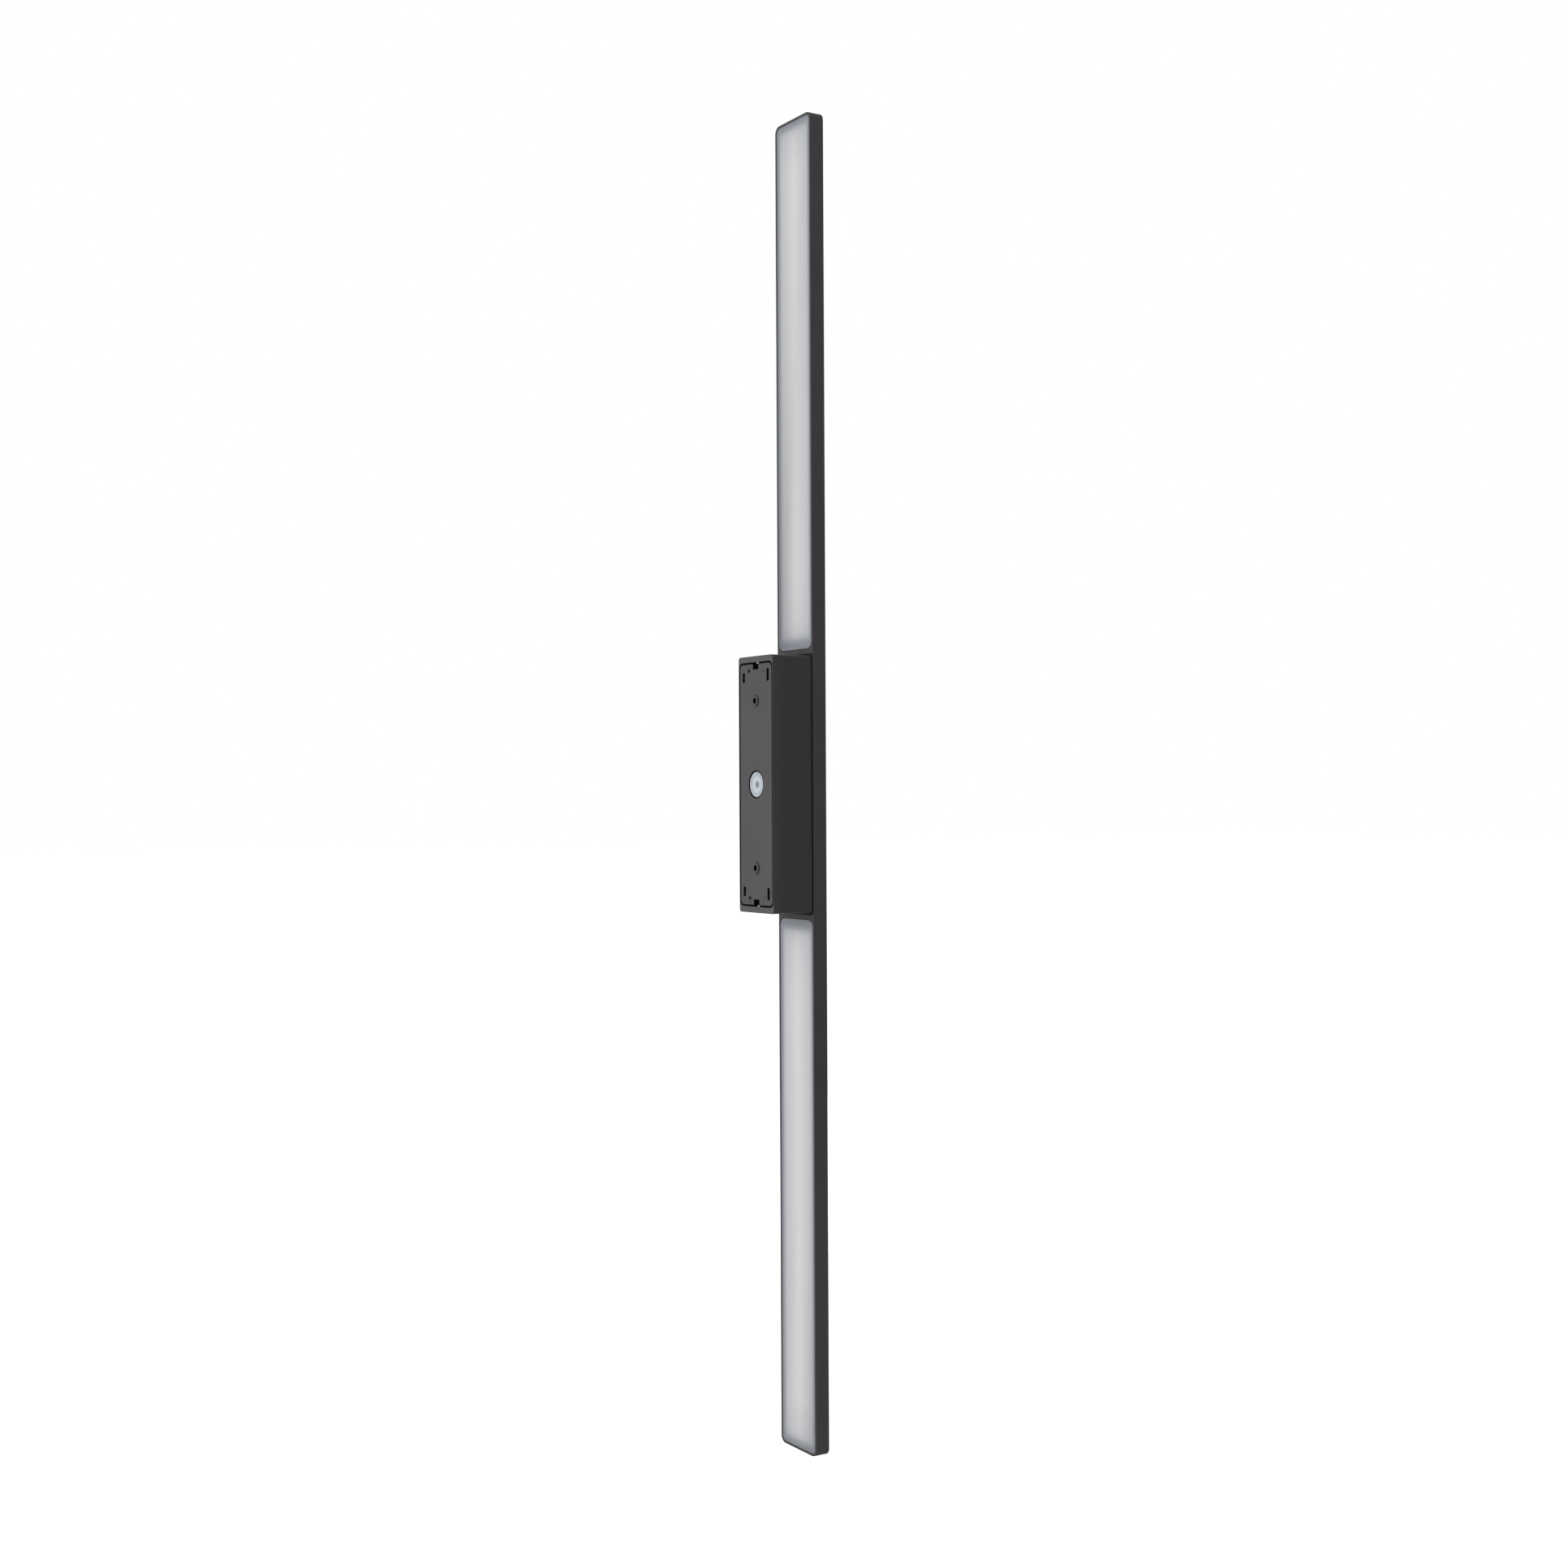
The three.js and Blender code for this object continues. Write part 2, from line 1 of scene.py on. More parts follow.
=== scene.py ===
"""A slim vertical wall light in black, with frosted lenses on both faces and a deep canopy behind."""

import math

import bmesh
import bpy
from mathutils import Matrix, Vector


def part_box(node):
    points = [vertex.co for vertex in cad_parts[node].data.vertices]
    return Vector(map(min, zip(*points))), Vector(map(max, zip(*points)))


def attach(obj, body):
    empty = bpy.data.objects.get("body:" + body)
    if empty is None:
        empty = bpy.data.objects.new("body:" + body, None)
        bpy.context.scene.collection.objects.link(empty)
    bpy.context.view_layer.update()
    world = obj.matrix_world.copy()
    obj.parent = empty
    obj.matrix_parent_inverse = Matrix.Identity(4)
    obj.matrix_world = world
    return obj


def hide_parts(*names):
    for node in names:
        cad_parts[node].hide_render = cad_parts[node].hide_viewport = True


MM = 0.001
WELD_DISTANCE = 0.001 * MM

# The painted pale middle of a lens lies this far to -X of the lens's centre line.
PALE_OFFSET = 1.2 * MM

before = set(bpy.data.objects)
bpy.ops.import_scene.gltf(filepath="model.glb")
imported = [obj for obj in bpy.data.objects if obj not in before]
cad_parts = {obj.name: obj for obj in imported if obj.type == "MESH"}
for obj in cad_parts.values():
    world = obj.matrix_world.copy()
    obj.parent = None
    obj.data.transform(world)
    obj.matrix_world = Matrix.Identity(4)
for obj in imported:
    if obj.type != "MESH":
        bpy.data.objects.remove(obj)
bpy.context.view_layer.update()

# Places in metres, in the shared frame: the wall is y = 0 and the bar stands off to -Y.
BAR_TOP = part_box("bar_frame")[1][2]
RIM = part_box("canopy_housing")[1][1]
CANOPY_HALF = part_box("canopy_housing")[1][0]
CANOPY_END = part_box("canopy_housing")[1][2]
BAR_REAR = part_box("bar_frame")[1][1]
LENS_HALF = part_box("front_diffuser")[1][0]
LENS_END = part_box("front_diffuser")[1][2]
LENS_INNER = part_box("rear_diffuser_upper")[0][2]
GROMMET_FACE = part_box("cable_grommet")[1][1]


# ---------------------------------------------------------------- shader helpers


def add(tree, kind, settings=None, **sockets):
    """A new node with its settings, each socket given a value or linked to another node's output.

    A socket goes by its name, with _ for a space, or by its number, as in _0.
    """
    made = tree.nodes.new(kind)
    for name, value in (settings or {}).items():
        setattr(made, name, value)
    for name, value in sockets.items():
        numbered = name[1:].isdigit()
        socket = made.inputs[int(name[1:]) if numbered else name.replace("_", " ")]
        if isinstance(value, bpy.types.NodeSocket):
            tree.links.new(value, socket)
        else:
            socket.default_value = value
    return made


def math_node(tree, operation, first, second=0.0):
    """The result of a sum on one or two numbers, each a value or another node's output."""
    return add(tree, "ShaderNodeMath", {"operation": operation}, _0=first, _1=second).outputs[0]


def ramp(tree, value, stops):
    """A colour that goes straight from stop to stop, each a (position, colour) pair."""
    made = add(tree, "ShaderNodeValToRGB", Fac=value)
    elements = made.color_ramp.elements
    while len(elements) < len(stops):
        elements.new(1.0)
    for element, (position, colour) in zip(elements, stops):
        element.position = position
        element.color = (*colour, 1.0)
    return made.outputs["Color"]


def grey(level):
    """A colour with all three channels at one level."""
    return (level, level, level)


def between(tree, level, low, high):
    """A colour from low to high, spread over the middle of a noise's range."""
    return ramp(tree, level, [(0.3, low), (0.7, high)])


def noise(tree, place, scale, detail=2.0, roughness=0.5):
    """A soft random level from 0 to 1, with about scale blobs to the metre."""
    made = add(
        tree, "ShaderNodeTexNoise", Vector=place, Scale=scale, Detail=detail, Roughness=roughness,
    )
    return made.outputs["Fac"]


def blank(name, **values):
    """A material with one principled shader, its constant values set on the shader itself."""
    material = bpy.data.materials.new(name)
    material.use_nodes = True
    tree = material.node_tree
    tree.nodes.clear()
    output = tree.nodes.new("ShaderNodeOutputMaterial")
    shader = add(tree, "ShaderNodeBsdfPrincipled", **values)
    tree.links.new(shader.outputs["BSDF"], output.inputs["Surface"])
    place = tree.nodes.new("ShaderNodeTexCoord").outputs["Object"]
    return material, tree, shader, place


def bump(tree, shader, height, distance, strength):
    """A fine relief on the shader's surface, up to distance metres deep."""
    made = add(tree, "ShaderNodeBump", Strength=strength, Distance=distance, Height=height)
    tree.links.new(made.outputs["Normal"], shader.inputs["Normal"])


def scaled(tree, colour, factor):
    """A colour with all three channels multiplied by one factor."""
    return add(tree, "ShaderNodeVectorMath", {"operation": "SCALE"}, _0=colour, Scale=factor).outputs[0]


def components(tree, place):
    """The x, y and z of a point."""
    split = add(tree, "ShaderNodeSeparateXYZ", Vector=place)
    return [split.outputs[axis] for axis in "XYZ"]


def tones_over(tree, distance, stops):
    """A colour against a distance, from stops of (millimetres, colour)."""
    span = stops[-1][0]
    share = math_node(tree, "DIVIDE", distance, span * MM)
    return ramp(tree, share, [(at / span, colour) for at, colour in stops])


def profile(tree, distance, stops):
    """A level from 0 to 1 against a distance, from stops of (millimetres, level)."""
    return tones_over(tree, distance, [(at, grey(level)) for at, level in stops])


# ---------------------------------------------------------------- materials


def powder_coat(name, shade, painted_light_of):
    """Satin black powder coat: fine orange peel, a slow drift in tone and a fine one in polish.

    Its last argument makes a factor of painted light and shade for the colour, from the node tree and the
    x, y and z of a point.
    """
    material, tree, shader, place = blank(name, Metallic=0.0)
    drift = noise(tree, place, scale=18.0, detail=3.0)
    speck = noise(tree, place, scale=900.0, roughness=0.6)
    speck_share = 0.25
    slow = math_node(tree, "MULTIPLY", drift, 1.0 - speck_share)
    fine = math_node(tree, "MULTIPLY", speck, speck_share)
    spread = 0.08
    dark = tuple((1.0 - spread) * channel for channel in shade)
    pale = tuple((1.0 + spread) * channel for channel in shade)
    colour = between(tree, math_node(tree, "ADD", slow, fine), dark, pale)
    # The coat's colour times its factor of painted light and shade.
    toned = scaled(tree, colour, painted_light_of(tree, *components(tree, place)))
    tree.links.new(toned, shader.inputs["Base Color"])
    rough = between(tree, speck, grey(0.42), grey(0.54))
    tree.links.new(rough, shader.inputs["Roughness"])
    peel = noise(tree, place, scale=1400.0, roughness=0.55)
    bump(tree, shader, peel, distance=0.06 * MM, strength=0.5)
    return material


def bar_painted_light(tree, x, y, z):
    """Painted light, a little paler towards both ends, and painted shade on the flat rear face and rim.
    """
    painted_light_at_ends = 0.2
    steepness = 1.5
    painted_shade_at_rear = 0.38
    rear_skin = 0.1 * MM
    # Painted light: paler towards both ends of the bar.
    height = math_node(tree, "ABSOLUTE", z)
    along = math_node(tree, "POWER", math_node(tree, "DIVIDE", height, BAR_TOP), steepness)
    paler = math_node(tree, "ADD", math_node(tree, "MULTIPLY", along, painted_light_at_ends), 1.0)
    # Painted shade over the flat rear face and rim.
    at_rear = math_node(tree, "GREATER_THAN", y, BAR_REAR - rear_skin)
    rear_shaded = math_node(tree, "SUBTRACT", 1.0, math_node(tree, "MULTIPLY", at_rear, painted_shade_at_rear))
    return math_node(tree, "MULTIPLY", paler, rear_shaded)


def canopy_painted_shade(tree, x, y, z):
    """Painted light and shade: palest on the rim of the end walls, painted shade on the thin rim of the
    side walls, and painted shade growing darker towards the front.
    """
    side_rim = 0.9 * MM
    corner = 7.0 * MM
    rim_skin = 0.3 * MM
    depth = math_node(tree, "SUBTRACT", RIM, y)
    # Painted shade, deepening from the rim towards the front.
    depth_shade = profile(tree, depth, [(0.0, 1.0), (0.4, 0.95), (1.5, 0.93), (6.0, 0.88), (14.0, 0.78)])
    # Painted shade on the thin rim of the side walls, away from the corners.
    on_side_rim = [
        ("GREATER_THAN", math_node(tree, "ABSOLUTE", x), CANOPY_HALF - side_rim),
        ("LESS_THAN", math_node(tree, "ABSOLUTE", z), CANOPY_END - corner),
        ("LESS_THAN", depth, rim_skin),
    ]
    side_rim_shade = 0.4
    for test, value, limit in on_side_rim:
        side_rim_shade = math_node(tree, "MULTIPLY", math_node(tree, test, value, limit), side_rim_shade)
    return math_node(tree, "MULTIPLY", depth_shade, math_node(tree, "SUBTRACT", 1.0, side_rim_shade))


def plate_painted_shade(tree, x, y, z):
    """Painted shade on the drawn flanks of the bosses and on the cut edges of the sheet."""
    depth = math_node(tree, "MULTIPLY", y, -1.0)
    tips = [(0.0, 1.0), (0.16, 1.0)]
    # Painted shade on the boss flanks and on the cut edges; the tips and rear face stay unshaded.
    flanks = [(0.3, 0.5), (1.15, 0.45)]
    rear_face = [(1.27, 1.0), (1.34, 1.0)]
    cut_edges = [(1.45, 0.35), (2.6, 0.3)]
    return profile(tree, depth, tips + flanks + rear_face + cut_edges)


def frosted_acrylic(name, inner=None):
    """Frosted acrylic over a white board with painted light and shade: pale in the middle where the board
    backs it, blue-grey where only the spine backs it, painted shade at its ends and outer edges.

    inner, if given, is the height above the bar's middle at which a rear lens begins.
    """
    material, tree, shader, place = blank(name, Roughness=0.38, IOR=1.49)
    x, _, z = components(tree, place)
    across = math_node(tree, "ABSOLUTE", math_node(tree, "ADD", x, PALE_OFFSET))
    along = math_node(tree, "ABSOLUTE", z)
    from_side = math_node(tree, "SUBTRACT", LENS_HALF, across)
    # Painted light and shade across the lens: pale over the board, blue-grey over the spine.
    side_level = profile(tree, from_side, [
        (0.0, 0.0), (1.7, 0.16), (3.0, 0.33), (4.3, 0.52), (5.7, 0.65), (7.0, 0.72), (8.5, 0.76),
        (14.0, 0.84), (20.0, 0.925), (27.0, 1.0),
    ])
    # Painted shade on the outer edges of the lens.
    from_edge = math_node(tree, "SUBTRACT", LENS_HALF, math_node(tree, "ABSOLUTE", x))
    painted_edge_shade = profile(tree, from_edge, [(0.0, 0.1), (1.0, 0.45), (2.4, 0.82), (4.0, 1.0)])
    # Painted shade towards the ends of the lens.
    end_level = profile(tree, math_node(tree, "SUBTRACT", LENS_END, along), [
        (0.0, 0.0), (3.0, 0.11), (5.3, 0.33), (7.5, 0.61), (9.7, 0.74), (12.0, 0.8), (14.0, 0.85),
        (20.0, 0.89), (45.0, 1.0),
    ])
    if inner is not None:
        # Painted shade where a rear lens begins beside the canopy.
        inner_level = profile(tree, math_node(tree, "SUBTRACT", along, inner), [
            (0.0, 0.09), (5.0, 0.1), (8.1, 0.33), (10.3, 0.61), (12.5, 0.73), (14.7, 0.81), (21.0, 0.9),
            (28.0, 0.93), (41.0, 0.96), (60.0, 1.0),
        ])
        end_level = math_node(tree, "MULTIPLY", end_level, inner_level)
    width_level = math_node(tree, "MULTIPLY", side_level, painted_edge_shade)
    level = math_node(tree, "MULTIPLY", width_level, end_level)
    colour = ramp(tree, level, [
        (0.0, (0.3, 0.33, 0.355)), (0.33, (0.437, 0.465, 0.49)), (0.58, (0.575, 0.6, 0.615)),
        (0.8, (0.714, 0.733, 0.735)), (1.0, (0.858, 0.873, 0.868)),
    ])
    tree.links.new(colour, shader.inputs["Base Color"])
    grain = noise(tree, place, scale=2600.0, roughness=0.6)
    bump(tree, shader, grain, distance=0.03 * MM, strength=0.4)
    return material


def silicone():
    """Milky silicone, its tones partly its own and partly painted light and shade: grey in the thin
    middle, blue-white on the dish, greyer rim, and a painted shadow in the seam round it.
    """
    material, tree, shader, place = blank(
        "pale_silicone", IOR=1.41, Subsurface_Weight=0.35, Subsurface_Scale=2.0 * MM,
        Subsurface_Radius=(1.0, 1.0, 1.0),
    )
    x, _, z = components(tree, place)
    squares = [math_node(tree, "MULTIPLY", side, side) for side in (x, z)]
    radius = math_node(tree, "SQRT", math_node(tree, "ADD", *squares))
    cloud = math_node(tree, "MULTIPLY", noise(tree, place, scale=220.0, detail=3.0), 0.6 * MM)
    # Painted light and shade across the plug, and a painted shadow in the seam at its edge.
    colour = tones_over(tree, math_node(tree, "ADD", radius, cloud), [
        (0.0, (0.24, 0.3, 0.32)), (1.9, (0.25, 0.31, 0.33)), (2.9, (0.38, 0.44, 0.46)),
        (3.6, (0.53, 0.6, 0.63)), (4.4, (0.7, 0.77, 0.81)), (5.1, (0.78, 0.85, 0.91)),
        (6.6, (0.76, 0.83, 0.89)), (7.5, (0.62, 0.69, 0.735)), (8.7, (0.56, 0.615, 0.65)),
        (9.5, (0.56, 0.62, 0.65)), (10.4, (0.64, 0.7, 0.73)), (11.1, (0.66, 0.71, 0.74)),
        (11.5, (0.04, 0.045, 0.05)),
    ])
    tree.links.new(colour, shader.inputs["Base Color"])
    polish = noise(tree, place, scale=260.0, detail=3.0)
    rough = between(tree, polish, grey(0.32), grey(0.46))
    tree.links.new(rough, shader.inputs["Roughness"])
    bump(tree, shader, noise(tree, place, scale=2400.0), distance=0.02 * MM, strength=0.4)
    return material


def plain(name, dark, pale, rough, scale=160.0, **values):
    """A moulded or drawn surface whose tone and polish drift a little, with a fine relief.

    It drifts from dark to pale and over the lowest and highest roughness in rough.
    """
    relief_to_drift = 9
    material, tree, shader, place = blank(name, **values)
    drift = noise(tree, place, scale, detail=4.0, roughness=0.6)
    tree.links.new(between(tree, drift, dark, pale), shader.inputs["Base Color"])
    low, high = rough
    tree.links.new(between(tree, drift, grey(low), grey(high)), shader.inputs["Roughness"])
    relief = noise(tree, place, scale * relief_to_drift)
    bump(tree, shader, relief, distance=0.02 * MM, strength=0.4)
    return material


def circuit_board():
    """White solder mask with faint darker bands running along the board."""
    material, tree, shader, place = blank("white_circuit_board", Roughness=0.45)
    wave = add(
        tree, "ShaderNodeTexWave", {"wave_type": "BANDS", "bands_direction": "X"},
        Vector=place, Scale=70.0, Distortion=0.0,
    )
    colour = ramp(tree, wave.outputs["Fac"], [(0.0, (0.78, 0.78, 0.75)), (0.12, (0.9, 0.9, 0.88))])
    tree.links.new(colour, shader.inputs["Base Color"])
    bump(tree, shader, wave.outputs["Fac"], distance=0.03 * MM, strength=0.5)
    return material


def insulation(name, colour):
    """Coloured lead insulation, in its colour and a slightly paler one."""
    pale = tuple(1.25 * channel + 0.01 for channel in colour)
    return plain(name, colour, pale, (0.35, 0.5), scale=300.0)


# Each coat carries painted light and shade from its factor function.
BAR_COAT = powder_coat("black_bar_coat", grey(0.1105), bar_painted_light)
CANOPY_COAT = powder_coat("black_canopy_coat", grey(0.1095), canopy_painted_shade)
PLATE_COAT = powder_coat("black_plate_coat", (0.0915, 0.091, 0.0915), plate_painted_shade)
REAR_LENS = frosted_acrylic("frosted_rear_lens", LENS_INNER)
FRONT_LENS = frosted_acrylic("frosted_front_lens")
BOARD = circuit_board()
ALUMINIUM = plain("mill_aluminium", (0.55, 0.56, 0.57), (0.7, 0.71, 0.72), (0.3, 0.45), Metallic=1.0)
STEEL = plain(
    "bright_steel", (0.62, 0.62, 0.63), (0.8, 0.8, 0.81), (0.18, 0.32), scale=400.0, Metallic=1.0,
)
ZINC = plain(
    "bright_zinc", (0.86, 0.86, 0.87), (0.95, 0.95, 0.96), (0.2, 0.3), scale=400.0, Metallic=0.35,
)
BRASS = plain(
    "plain_brass", (0.55, 0.4, 0.14), (0.75, 0.57, 0.24), (0.25, 0.4), scale=400.0, Metallic=1.0,
)
RUBBER = plain("black_rubber", grey(0.006), grey(0.014), (0.75, 0.9), scale=300.0)
SILICONE = silicone()
WHITE_PLASTIC = plain("white_plastic", (0.72, 0.72, 0.7), (0.82, 0.82, 0.8), (0.4, 0.55))
BROWN = insulation("brown_insulation", (0.12, 0.045, 0.02))
BLUE = insulation("blue_insulation", (0.02, 0.09, 0.45))
GREEN = insulation("green_insulation", (0.06, 0.26, 0.03))
RED = insulation("red_insulation", (0.22, 0.01, 0.008))
BLACK = insulation("black_insulation", grey(0.012))


# ---------------------------------------------------------------- carried-over solids


def solid(name, material):
    """A CAD solid in its material, its facets welded together and smooth shaded."""
    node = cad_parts[name]
    node.data.materials.clear()
    node.data.materials.append(material)
    weld = node.modifiers.new("weld", "WELD")
    weld.merge_threshold = WELD_DISTANCE
    for polygon in node.data.polygons:
        polygon.use_smooth = True
    return node


def round_edges(piece, radius, from_angle):
    """A rounding of the edges that turn by more than from_angle degrees."""
    rounding = piece.modifiers.new("rounding", "BEVEL")
    rounding.width = radius
    rounding.segments = 3
    rounding.limit_method = "ANGLE"
    rounding.angle_limit = math.radians(from_angle)


def dress(name, material, edge):
    """A CAD solid with its flats merged and its sharp edges rounded to a radius."""
    node = solid(name, material)
    flats = node.modifiers.new("flats", "DECIMATE")
    flats.decimate_type = "DISSOLVE"
    flats.angle_limit = math.radians(0.5)
    round_edges(node, edge, from_angle=40)
    node.modifiers.new("normals", "WEIGHTED_NORMAL")


def round_wire(name, material):
    """A CAD wire, faceted in the solid, rounded by subdivision."""
    rounding = solid(name, material).modifiers.new("rounding", "SUBSURF")
    rounding.levels = 2
    rounding.render_levels = 2


dress("bar_frame", BAR_COAT, edge=0.35 * MM)
dress("canopy_housing", CANOPY_COAT, edge=0.39 * MM)
dress("wall_plate", PLATE_COAT, edge=0.12 * MM)
dress("rear_diffuser_upper", REAR_LENS, edge=0.5 * MM)
dress("rear_diffuser_lower", REAR_LENS, edge=0.5 * MM)
dress("front_diffuser", FRONT_LENS, edge=0.5 * MM)
dress("spine_plate", ALUMINIUM, edge=0.15 * MM)
dress("canopy_gasket", RUBBER, edge=0.1 * MM)
dress("led_driver", WHITE_PLASTIC, edge=0.4 * MM)
dress("terminal_block", WHITE_PLASTIC, edge=0.2 * MM)
dress("earth_screw", BRASS, edge=0.12 * MM)
dress("earth_ring", BRASS, edge=0.1 * MM)
for board in ("rear_led_board", "front_led_board"):
    dress(f"{board}_upper", BOARD, edge=0.08 * MM)
    dress(f"{board}_lower", BOARD, edge=0.08 * MM)
for corner in ("upper_left", "upper_right", "lower_left", "lower_right"):
    dress(f"canopy_screw_{corner}", STEEL, edge=0.12 * MM)
for screw in ("driver_screw_upper", "driver_screw_lower", "terminal_block_screw"):
    dress(screw, STEEL, edge=0.1 * MM)

round_wire("live_lead", BROWN)
round_wire("neutral_lead", BLUE)
round_wire("earth_lead", GREEN)
for lead in ("output_lead", "link_lead_upper", "link_lead_lower"):
    round_wire(f"{lead}_positive", RED)
    round_wire(f"{lead}_negative", BLACK)


# ---------------------------------------------------------------- finer pieces


def lathe(name, outline, material, place_point, segments, edge=0.0):
    """A turned mesh from points of (radius, height), each ring's points placed by place_point.

    Its sharp edges are rounded to a radius if edge gives one. The outline starts and ends on the axis.
    """
    shape = bmesh.new()
    rings = []
    for radius, height in outline:
        if radius == 0.0:
            rings.append([shape.verts.new(place_point(0.0, 0.0, height))] * segments)
            continue
        ring = []
        for step in range(segments):
            turn = 2 * math.pi * step / segments
            across, up = radius * math.cos(turn), radius * math.sin(turn)
            ring.append(shape.verts.new(place_point(across, up, height)))
        rings.append(ring)
    for lower, upper in zip(rings, rings[1:]):
        for step in range(segments):
            after = (step + 1) % segments
            corners = [lower[step], lower[after], upper[after], upper[step]]
            face = list(dict.fromkeys(corners))
            if len(face) > 2:
                shape.faces.new(face)
    bmesh.ops.recalc_face_normals(shape, faces=shape.faces)
    mesh = bpy.data.meshes.new(name)
    shape.to_mesh(mesh)
    shape.free()
    for polygon in mesh.polygons:
        polygon.use_smooth = True
    mesh.materials.append(material)
    piece = bpy.data.objects.new(name, mesh)
    bpy.context.scene.collection.objects.link(piece)
    if edge:
        round_edges(piece, edge, from_angle=28)
    piece.modifiers.new("normals", "WEIGHTED_NORMAL")
    return piece


def make_grommet():
    """The cord plug: a raised rim, a groove, a shallow dish and a thin dimpled membrane in its middle."""
    low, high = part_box("cable_grommet")
    flange = high[0]
    back = low[1]
    disc = flange - 2.8 * MM
    shelf = GROMMET_FACE - 1.0 * MM
    hollow = shelf - 1.1 * MM
    outline = [(0.0, back), (3.6 * MM, back), (7.0 * MM, hollow), (flange - 0.4 * MM, hollow)]
    outline += [(flange, shelf - 0.8 * MM), (flange, shelf), (disc, shelf)]

    # Millimetres in from the disc's edge and down from the face.
    rim = [(0.0, 0.25), (0.2, 0.06), (0.6, 0.0), (1.9, 0.0), (2.3, 0.12)]
    groove = [(2.55, 0.4), (2.9, 0.42)]
    lip = [(3.2, 0.26), (3.9, 0.3)]
    outline += [(disc - inset * MM, GROMMET_FACE - drop * MM) for inset, drop in rim + groove + lip]

    # Millimetres of radius and down from the face.
    dish = [(7.0, 0.34), (5.2, 0.4), (4.2, 0.52), (3.3, 0.75), (2.7, 0.92), (2.0, 0.98)]
    membrane = [(0.6, 1.0), (0.35, 1.15), (0.0, 1.17)]
    outline += [(radius * MM, GROMMET_FACE - drop * MM) for radius, drop in dish + membrane]

    plug = lathe(
        "silicone_cord_plug", outline, SILICONE,
        place_point=lambda a, b, h: (a, h, b), segments=96, edge=0.05 * MM,
    )
    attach(plug, "wall_plate")
    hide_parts("cable_grommet")


def make_set_screw(name, side):
    """A headless screw: a cup point, a thread drawn as rings and a round socket in the outer end."""
    low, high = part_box(name)
    inner, outer = (low[2], high[2]) if side > 0 else (high[2], low[2])
    length = abs(outer - inner)
    depth = (low[1] + high[1]) / 2
    crest = (high[0] - low[0]) / 2
    root = crest - 0.28 * MM
    chamfer = 0.15 * MM

    # Millimetres of radius and along from the point.
    cup = [(0.0, 0.25), (0.55, 0.0), (0.8, 0.0)]
    outline = [(radius * MM, along * MM) for radius, along in cup]
    outline += [(root, 0.55 * MM)]

    pitch = 0.5 * MM
    thread_start = 0.6 * MM
    bare = 1.0 * MM
    ring = [(root, 0.0), (crest, 0.2 * MM), (crest, 0.28 * MM), (root, 0.46 * MM)]
    for turn in range(int((length - bare) / pitch)):
        outline += [(radius, thread_start + turn * pitch + along) for radius, along in ring]

    # Millimetres of radius and down from the outer end.
    socket = [(0.78, 0.0), (0.78, 1.8), (0.0, 2.2)]
    outline += [(root, length - chamfer), (root - chamfer, length)]
    outline += [(radius * MM, length - drop * MM) for radius, drop in socket]
    screw = lathe(
        f"{name}_threaded", outline, ZINC,
        place_point=lambda a, b, h: (a, depth + b, inner + side * h), segments=48,
    )
    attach(screw, name)
    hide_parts(name)


make_grommet()
make_set_screw("set_screw_top", 1)
make_set_screw("set_screw_bottom", -1)


# ---------------------------------------------------------------- studio


def make_camera():
    """Level with the middle of the bar, behind it and to its side."""
    azimuth = math.radians(238.5)
    distance = 1.8409
    height = -0.012
    roll = math.radians(-0.273)
    data = bpy.data.cameras.new("camera")
    data.lens = 47.41
    data.sensor_width = 36.0
    data.shift_x = 0.01787
    data.shift_y = 0.00888
    data.clip_start = 0.05
    data.clip_end = 100.0
    camera = bpy.data.objects.new("camera", data)
    back = Vector((math.sin(azimuth), -math.cos(azimuth), 0.0))
    camera.location = back * distance + Vector((0.0, RIM, height))
    aim = (-back).to_track_quat("-Z", "Y").to_matrix().to_4x4()
    camera.matrix_world = Matrix.Translation(camera.location) @ aim @ Matrix.Rotation(roll, 4, "Z")
    bpy.context.scene.collection.objects.link(camera)
    bpy.context.scene.camera = camera


def soft_light(name, place, size, power):
    """A white rectangular light that faces the middle of the bar."""
    middle = Vector((0.0, -0.03, 0.0))
    data = bpy.data.lights.new(name, "AREA")
    data.shape = "RECTANGLE"
    data.size, data.size_y = size
    data.energy = power
    light = bpy.data.objects.new(name, data)
    light.location = place
    light.rotation_mode = "QUATERNION"
    light.rotation_quaternion = (middle - Vector(place)).to_track_quat("-Z", "Y")
    bpy.context.scene.collection.objects.link(light)


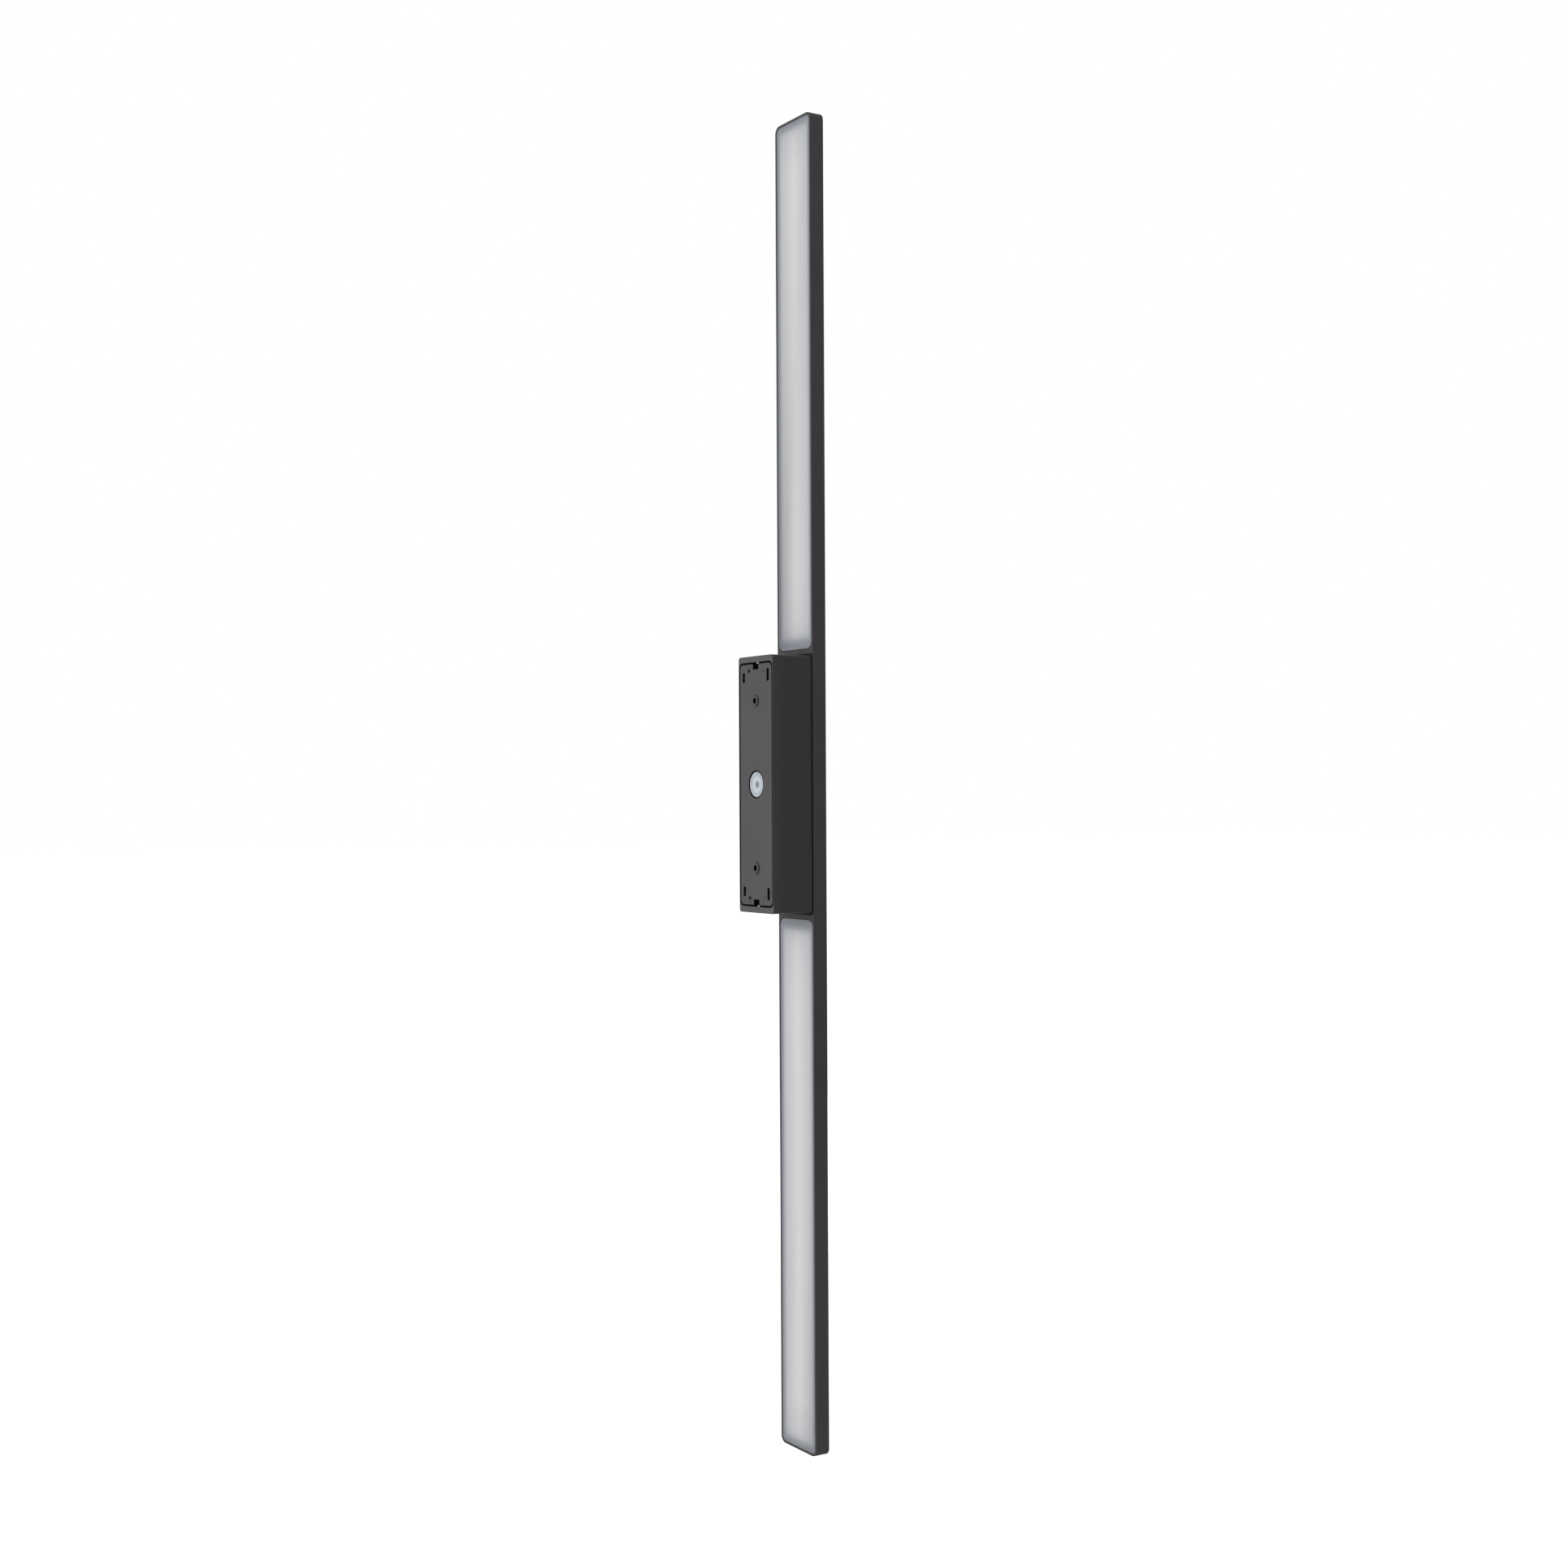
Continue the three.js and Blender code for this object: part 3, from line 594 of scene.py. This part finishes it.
def make_floor():
    """A wide pale floor a little below the bar."""
    half = 30.0
    gap = 0.15
    level = -BAR_TOP - gap
    mesh = bpy.data.meshes.new("studio_floor")
    corners = [(-half, -half, level), (half, -half, level), (half, half, level), (-half, half, level)]
    mesh.from_pydata(corners, [], [(0, 1, 2, 3)])
    floor = bpy.data.objects.new("studio_floor", mesh)
    bpy.context.scene.collection.objects.link(floor)
    material, tree, shader, place = blank(
        "pale_floor", Roughness=0.9, Specular_IOR_Level=0.0,
        Emission_Color=(1.0, 1.0, 1.0, 1.0), Emission_Strength=0.85,
    )
    drift = noise(tree, place, scale=3.0)
    tree.links.new(ramp(tree, drift, [(0.0, grey(0.88)), (1.0, grey(0.92))]), shader.inputs["Base Color"])
    mesh.materials.append(material)
    floor.visible_diffuse = False
    floor.visible_glossy = False


def make_world():
    """White behind the object, and an even, dimmer, faintly mauve light from all round it."""
    world = bpy.data.worlds.new("studio")
    bpy.context.scene.world = world
    world.use_nodes = True
    tree = world.node_tree
    tree.nodes.clear()
    output = tree.nodes.new("ShaderNodeOutputWorld")
    seen = add(tree, "ShaderNodeBackground", Color=(1.0, 1.0, 1.0, 1.0), Strength=1.0)
    lit = add(tree, "ShaderNodeBackground", Color=(1.0, 0.935, 1.015, 1.0), Strength=0.255)
    path = tree.nodes.new("ShaderNodeLightPath")
    mix = tree.nodes.new("ShaderNodeMixShader")
    tree.links.new(path.outputs["Is Camera Ray"], mix.inputs[0])
    tree.links.new(lit.outputs[0], mix.inputs[1])
    tree.links.new(seen.outputs[0], mix.inputs[2])
    tree.links.new(mix.outputs[0], output.inputs["Surface"])


def make_lights():
    """A large light behind, a weaker one in front and a faint one overhead."""
    soft_light("rear_softbox", place=(0.6, 2.8, -0.15), size=(2.4, 3.0), power=80.0)
    soft_light("front_softbox", place=(1.6, -2.4, 0.6), size=(2.0, 2.4), power=56.0)
    soft_light("overhead", place=(0.2, 0.3, 2.8), size=(2.4, 2.4), power=6.0)


make_camera()
make_floor()
make_world()
make_lights()
bpy.context.scene.view_settings.view_transform = "Standard"
